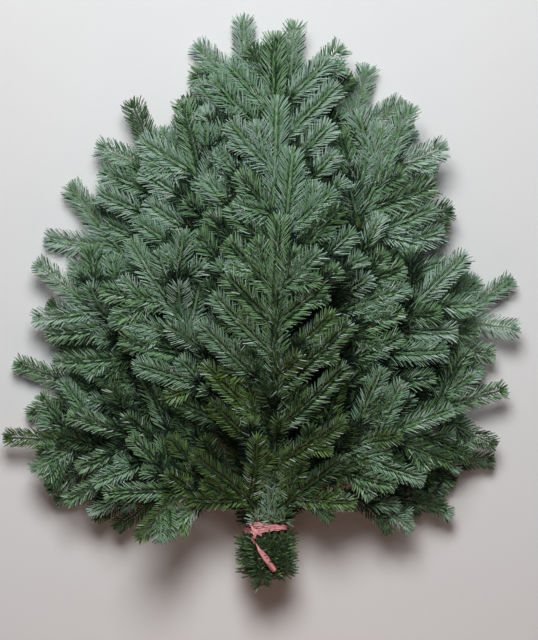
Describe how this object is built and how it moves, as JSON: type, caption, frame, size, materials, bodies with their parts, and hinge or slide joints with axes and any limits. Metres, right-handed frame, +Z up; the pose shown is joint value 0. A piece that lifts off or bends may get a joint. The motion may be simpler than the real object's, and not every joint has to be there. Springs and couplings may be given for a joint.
{
  "type": "tied bundle of fir boughs",
  "caption": "Cut fir boughs fanned into the outline of a Christmas tree, lying flat and tied at the butts with flat tape, sold as winter greenery.",
  "frame": {"origin": "on the surface that the bundle lies on, under the middle of its box", "axes": "+Y from the cut butts to the top of the tree, +Z up from the surface, +X to the right as seen from above with the top of the tree away from the viewer"},
  "size_m": [0.7136, 0.7804, 0.1808],
  "materials": {
    "bark": "thin greenish brown bark",
    "back_needles": "bluish green needles with a waxy bloom",
    "front_needles": "green needles with a waxy bloom",
    "sprig_needles": "green needles with a waxy bloom",
    "tie_tape": "soft satin"
  },
  "bodies": {
    "root": {"crest_back_foliage": "front_needles", "crest_back_stem": "bark", "crest_foliage": "front_needles", "crest_stem": "bark", "flank_high_left_foliage": "back_needles", "flank_high_left_stem": "bark", "flank_high_right_foliage": "back_needles", "flank_high_right_stem": "bark", "flank_left_foliage": "back_needles", "flank_left_stem": "bark", "flank_right_foliage": "back_needles", "flank_right_stem": "bark", "foot_left_foliage": "back_needles", "foot_left_stem": "bark", "foot_right_foliage": "back_needles", "foot_right_stem": "bark", "front_left_foliage": "front_needles", "front_left_stem": "bark", "front_low_right_foliage": "front_needles", "front_low_right_stem": "bark", "front_right_foliage": "front_needles", "front_right_stem": "bark", "front_top_foliage": "front_needles", "front_top_stem": "bark", "heel_left_foliage": "back_needles", "heel_left_stem": "bark", "heel_right_foliage": "back_needles", "heel_right_stem": "bark", "hip_left_foliage": "back_needles", "hip_left_stem": "bark", "hip_right_foliage": "back_needles", "hip_right_stem": "bark", "middle_flank_right_foliage": "front_needles", "middle_flank_right_stem": "bark", "middle_hip_left_foliage": "front_needles", "middle_hip_left_stem": "bark", "middle_shoulder_left_foliage": "front_needles", "middle_shoulder_left_stem": "bark", "middle_shoulder_right_foliage": "front_needles", "middle_shoulder_right_stem": "bark", "middle_top_foliage": "front_needles", "middle_top_stem": "bark", "shoulder_left_foliage": "back_needles", "shoulder_left_stem": "bark", "shoulder_right_foliage": "back_needles", "shoulder_right_stem": "bark", "skirt_left_foliage": "front_needles", "skirt_left_stem": "bark", "skirt_right_foliage": "front_needles", "skirt_right_stem": "bark", "sprig_left": "sprig_needles", "sprig_right": "sprig_needles", "tie_band": "tie_tape", "tie_strand": "tie_tape", "tie_wrap": "tie_tape", "top_left_foliage": "back_needles", "top_left_stem": "bark", "top_right_foliage": "back_needles", "top_right_stem": "bark"}
  },
  "joints": []
}
